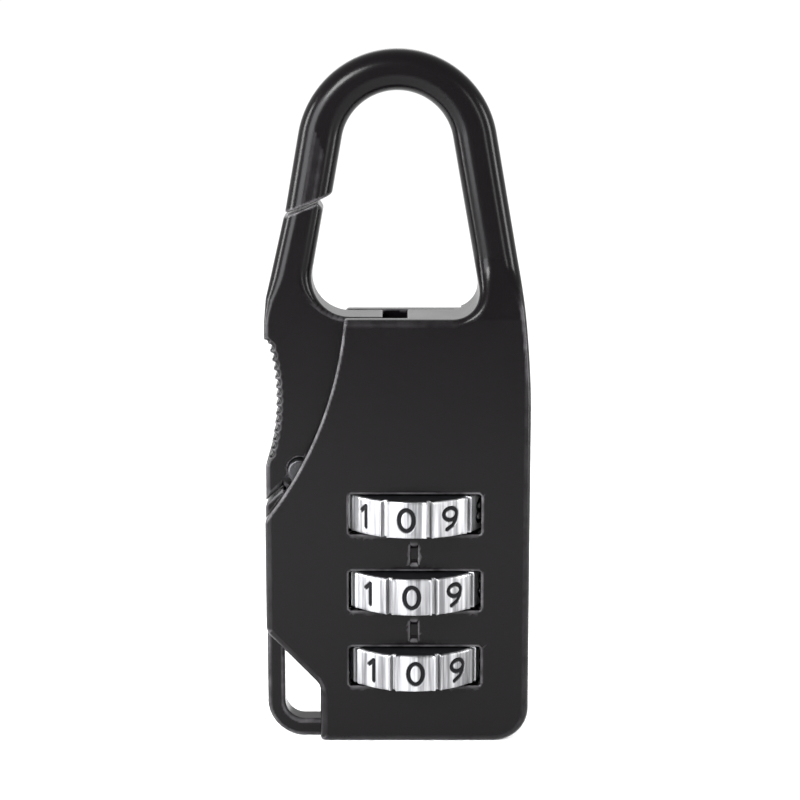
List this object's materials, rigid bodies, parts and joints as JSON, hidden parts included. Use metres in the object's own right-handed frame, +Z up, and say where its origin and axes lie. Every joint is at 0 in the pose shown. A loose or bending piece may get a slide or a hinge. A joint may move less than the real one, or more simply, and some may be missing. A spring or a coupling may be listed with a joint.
{
  "type": "combination padlock",
  "caption": "Black luggage padlock with a fixed snap hook, a sprung gate lever, number dials on one spindle and a lanyard eye.",
  "frame": {"origin": "on the base, under the middle of the object's box", "axes": "+Z up along the lock towards the hook, front face with the dials towards -Y, gate lever on the -X side"},
  "size_m": [0.0252, 0.014, 0.0661],
  "materials": {
    "case_paint": "satin black paint on die-cast zinc",
    "lever_paint": "satin black paint on die-cast zinc",
    "dial_plate": "bright nickel plate, figures engraved and filled black",
    "screw_steel": "blackened steel",
    "pin_steel": "blackened steel",
    "spindle_brass": "machined",
    "sleeve_zinc": "blackened die-cast zinc",
    "spring_steel": "bright spring wire",
    "slider_steel": "stamped and tumbled"
  },
  "bodies": {
    "case": {"main_body": "case_paint", "back_cover": "case_paint", "cover_screws": "screw_steel", "lever_pivot_pin": "pin_steel", "spindle_spring": "spring_steel", "spindle_washer": "slider_steel", "sleeve_spring": "spring_steel", "detent_spring_top": "spring_steel", "detent_spring_middle": "spring_steel", "detent_spring_bottom": "spring_steel"},
    "gate": {"gate_lever": "lever_paint"},
    "spindle": {"locking_spindle": "spindle_brass"},
    "reset": {"reset_slider": "slider_steel", "sleeve_washer": "slider_steel"},
    "wheel_top": {"dial_top": "dial_plate"},
    "wheel_middle": {"dial_middle": "dial_plate"},
    "wheel_bottom": {"dial_bottom": "dial_plate"},
    "code_top": {"sleeve_top": "sleeve_zinc"},
    "code_middle": {"sleeve_middle": "sleeve_zinc"},
    "code_bottom": {"sleeve_bottom": "sleeve_zinc"}
  },
  "joints": [
    {"name": "gate_hinge", "type": "hinge", "parent": "case", "child": "gate", "pos_m": [-0.0093, 0, 0.0266], "axis": [0, 1, 0], "range_deg": [0, 12], "stiffness_Nm_per_rad": 0.05, "springref_deg": -17.19},
    {"name": "spindle_slide", "type": "slide", "parent": "case", "child": "spindle", "axis": [0, 0, 1], "range_m": [-0.0022, 0], "deforming": ["spindle_spring"]},
    {"name": "reset_slide", "type": "slide", "parent": "case", "child": "reset", "axis": [0, 0, 1], "range_m": [-0.0012, 0], "stiffness_N_per_m": 300, "springref_m": 0.001, "deforming": ["sleeve_spring"]},
    {"name": "dial_top_spin", "type": "hinge", "parent": "case", "child": "wheel_top", "pos_m": [0.0016, 0, 0.0226], "axis": [0, 0, 1], "continuous": true, "deforming": ["detent_spring_top"]},
    {"name": "dial_middle_spin", "type": "hinge", "parent": "case", "child": "wheel_middle", "pos_m": [0.0016, 0, 0.0151], "axis": [0, 0, 1], "continuous": true, "deforming": ["detent_spring_middle"]},
    {"name": "dial_bottom_spin", "type": "hinge", "parent": "case", "child": "wheel_bottom", "pos_m": [0.0016, 0, 0.0076], "axis": [0, 0, 1], "continuous": true, "deforming": ["detent_spring_bottom"]},
    {"name": "sleeve_top_shift", "type": "slide", "parent": "wheel_top", "child": "code_top", "axis": [0, 0, 1], "range_m": [-0.0012, 0]},
    {"name": "sleeve_middle_shift", "type": "slide", "parent": "wheel_middle", "child": "code_middle", "axis": [0, 0, 1], "range_m": [-0.0012, 0]},
    {"name": "sleeve_bottom_shift", "type": "slide", "parent": "wheel_bottom", "child": "code_bottom", "axis": [0, 0, 1], "range_m": [-0.0012, 0]}
  ],
  "couplings": [
    {"joint": "spindle_slide", "follows": "gate_hinge", "m_per_rad": -0.010476},
    {"joint": "sleeve_top_shift", "follows": "reset_slide", "ratio": 1},
    {"joint": "sleeve_middle_shift", "follows": "reset_slide", "ratio": 1},
    {"joint": "sleeve_bottom_shift", "follows": "reset_slide", "ratio": 1}
  ]
}
